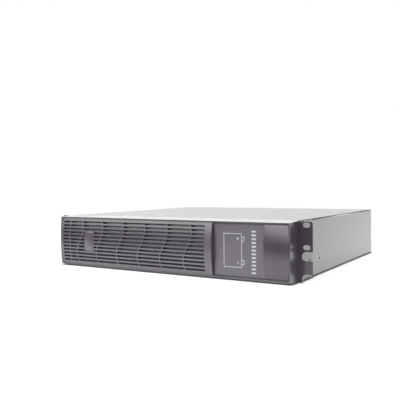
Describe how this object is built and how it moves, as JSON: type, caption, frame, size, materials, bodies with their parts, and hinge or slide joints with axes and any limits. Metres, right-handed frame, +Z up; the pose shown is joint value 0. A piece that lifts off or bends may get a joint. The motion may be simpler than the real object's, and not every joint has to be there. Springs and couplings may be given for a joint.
{
  "type": "external battery pack",
  "caption": "Low, wide rack-mount battery pack: folded steel case with slotted ears behind a moulded bezel that has a waved grille, a flat square insert and a glossy end.",
  "frame": {"origin": "middle of the footprint, on the surface the pack stands on", "axes": "+X to the right of the front, +Y to the back, +Z up"},
  "size_m": [0.4826, 0.4402, 0.088],
  "materials": {
    "chassis_paint": "satin powder coat",
    "bezel_plastic": "fine moulded texture",
    "badge_plastic": "smooth",
    "insert_plastic": "fine moulded texture",
    "trim_gloss": "gloss",
    "fastener_steel": "plated",
    "block_case": "moulded",
    "tab_brass": "tinned",
    "link_sleeve": "sleeved",
    "foam": "closed cell foam",
    "bracket_steel": "galvanised",
    "fuse_body": "moulded",
    "red_lead": "insulated",
    "black_lead": "insulated",
    "socket_shell": "moulded"
  },
  "bodies": {
    "root": {"chassis_tray": "chassis_paint", "top_cover": "chassis_paint", "front_panel": "chassis_paint", "rear_panel": "chassis_paint", "left_rack_ear": "chassis_paint", "right_rack_ear": "chassis_paint", "front_bezel": "bezel_plastic", "badge_blank": "badge_plastic", "square_insert": "insert_plastic", "end_trim": "trim_gloss", "ear_screws": "fastener_steel", "cover_screws": "fastener_steel", "earth_stud": "fastener_steel", "earth_nut": "fastener_steel", "battery_front_1": "block_case", "battery_front_2": "block_case", "battery_front_3": "block_case", "battery_front_4": "block_case", "battery_rear_1": "block_case", "battery_rear_2": "block_case", "battery_rear_3": "block_case", "battery_rear_4": "block_case", "battery_tabs": "tab_brass", "socket_contacts": "tab_brass", "battery_links": "link_sleeve", "socket_jumpers": "link_sleeve", "side_foam_left": "foam", "side_foam_right": "foam", "middle_foam": "foam", "row_foam": "foam", "front_foam": "foam", "battery_strap_front": "bracket_steel", "battery_strap_rear": "bracket_steel", "battery_stop": "bracket_steel", "fuse_base": "fuse_body", "fuse_link": "fuse_body", "positive_lead": "red_lead", "fuse_lead": "red_lead", "negative_lead": "black_lead", "pair_lead": "black_lead", "dc_socket_1": "socket_shell", "dc_socket_2": "socket_shell"}
  },
  "joints": []
}
